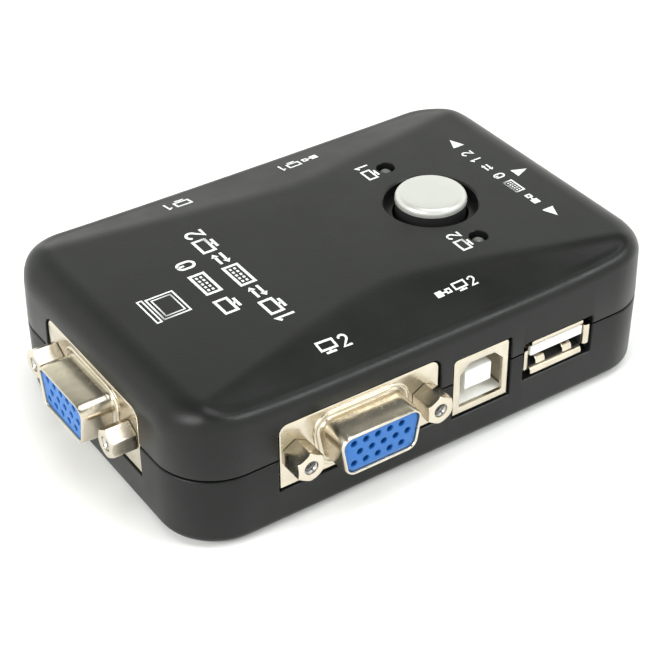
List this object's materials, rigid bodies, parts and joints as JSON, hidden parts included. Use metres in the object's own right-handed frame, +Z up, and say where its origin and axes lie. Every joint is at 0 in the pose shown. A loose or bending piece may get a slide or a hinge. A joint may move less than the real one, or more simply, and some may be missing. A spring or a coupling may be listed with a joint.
{
  "type": "kvm switch",
  "caption": "Palm-sized black desktop box with a round silver push button, D-type video sockets and USB sockets round its edge, which shares one screen and keyboard between two computers.",
  "frame": {"origin": "centre of the bounding box in plan, on the surface that the rubber feet stand on", "axes": "+X from the monitor socket towards the keyboard and mouse socket, along the long side; +Y towards computer 1's sockets; +Z up out of the top"},
  "size_m": [0.1014, 0.0744, 0.0288],
  "materials": {
    "case_plastic": "fine satin grain",
    "button_plastic": "silver-cream satin",
    "socket_metal": "bright nickel plate, slightly warm",
    "connector_blue": "satin moulding",
    "connector_white": "satin moulding",
    "black_plastic": "matte",
    "circuit_board": "solder mask",
    "foot_rubber": "matte",
    "screw_steel": "zinc plated",
    "lamp_lens": "clear, diffused",
    "contact_gold": "gold plated",
    "print_white": "printed ink"
  },
  "bodies": {
    "case": {"top_cover": "case_plastic", "bottom_cover": "case_plastic", "circuit_board": "circuit_board", "case_screw_1": "screw_steel", "case_screw_2": "screw_steel", "case_screw_3": "screw_steel", "case_screw_4": "screw_steel", "rubber_foot_1": "foot_rubber", "rubber_foot_2": "foot_rubber", "rubber_foot_3": "foot_rubber", "rubber_foot_4": "foot_rubber", "switch_body": "black_plastic", "return_spring": "screw_steel", "indicator_lamp_1": "lamp_lens", "lamp_riser_1": "black_plastic", "indicator_lamp_2": "lamp_lens", "lamp_riser_2": "black_plastic", "monitor_vga_shell": "socket_metal", "monitor_vga_jackscrew_left": "socket_metal", "monitor_vga_jackscrew_right": "socket_metal", "monitor_vga_insulator": "connector_blue", "computer_1_vga_shell": "socket_metal", "computer_1_vga_jackscrew_left": "socket_metal", "computer_1_vga_jackscrew_right": "socket_metal", "computer_1_vga_insulator": "connector_blue", "computer_2_vga_shell": "socket_metal", "computer_2_vga_jackscrew_left": "socket_metal", "computer_2_vga_jackscrew_right": "socket_metal", "computer_2_vga_insulator": "connector_blue", "computer_1_usb_b_shell": "socket_metal", "computer_1_usb_b_insulator": "connector_white", "computer_2_usb_b_shell": "socket_metal", "computer_2_usb_b_insulator": "connector_white", "computer_1_usb_a_shell": "socket_metal", "computer_1_usb_a_insulator": "connector_white", "computer_2_usb_a_shell": "socket_metal", "computer_2_usb_a_insulator": "connector_white", "console_usb_a_shell": "socket_metal", "console_usb_a_insulator": "connector_white", "video_switch_chip_1": "black_plastic", "video_switch_chip_2": "black_plastic", "usb_switch_chip": "black_plastic", "smoothing_capacitor_1": "black_plastic", "smoothing_capacitor_2": "black_plastic", "clock_crystal": "screw_steel"},
    "button": {"button_cap": "button_plastic", "switch_plunger": "connector_white"}
  },
  "joints": [
    {"name": "button_press", "type": "slide", "parent": "case", "child": "button", "axis": [0, 0, -1], "range_m": [0, 0.0012], "stiffness_N_per_m": 600, "springref_m": -0.0025, "deforming": ["return_spring"]}
  ]
}
